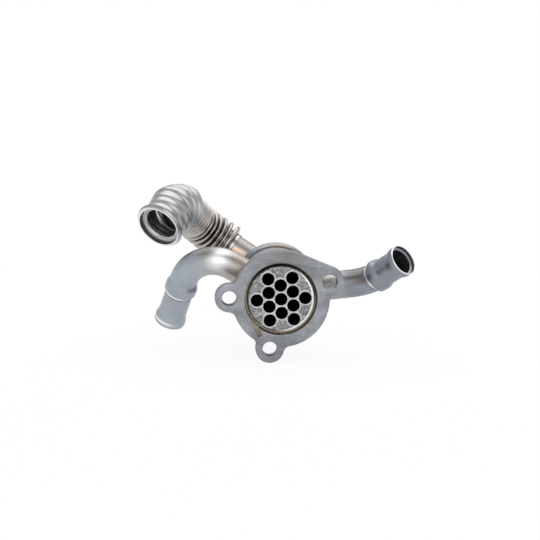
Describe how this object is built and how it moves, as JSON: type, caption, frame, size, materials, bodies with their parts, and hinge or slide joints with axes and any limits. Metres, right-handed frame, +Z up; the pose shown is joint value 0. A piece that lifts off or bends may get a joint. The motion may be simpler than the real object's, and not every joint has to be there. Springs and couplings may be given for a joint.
{
  "type": "egr cooler",
  "caption": "Short round exhaust gas recirculation cooler: eared flange, tube bundle, bent coolant pipes with beads, and a bellows line that ends in a ribbed elbow and a round cup.",
  "frame": {"origin": "on the tube bundle's axis, in the plane of the flange's front face", "axes": "-Y out of the flange's face towards the housing it bolts to, +Z up as in the picture, +X towards the right coolant pipe"},
  "size_m": [0.1838, 0.1207, 0.1093],
  "materials": {
    "plate_steel": "satin, machined face",
    "pipe_steel": "satin, bluish grey",
    "bright_steel": "bright stainless",
    "brazed_steel": "mottled braze film over stainless"
  },
  "bodies": {
    "root": {"bellows": "bright_steel", "elbow": "bright_steel", "flange": "plate_steel", "front_tube_sheet": "brazed_steel", "gas_pipe": "pipe_steel", "gas_tube_01": "bright_steel", "gas_tube_02": "bright_steel", "gas_tube_03": "bright_steel", "gas_tube_04": "bright_steel", "gas_tube_05": "bright_steel", "gas_tube_06": "bright_steel", "gas_tube_07": "bright_steel", "gas_tube_08": "bright_steel", "gas_tube_09": "bright_steel", "gas_tube_10": "bright_steel", "gas_tube_11": "bright_steel", "gas_tube_12": "bright_steel", "gas_tube_13": "bright_steel", "inlet_cup": "bright_steel", "left_coolant_pipe": "pipe_steel", "rear_cap": "pipe_steel", "rear_tube_sheet": "brazed_steel", "right_coolant_pipe": "pipe_steel", "shell": "pipe_steel"}
  },
  "joints": []
}
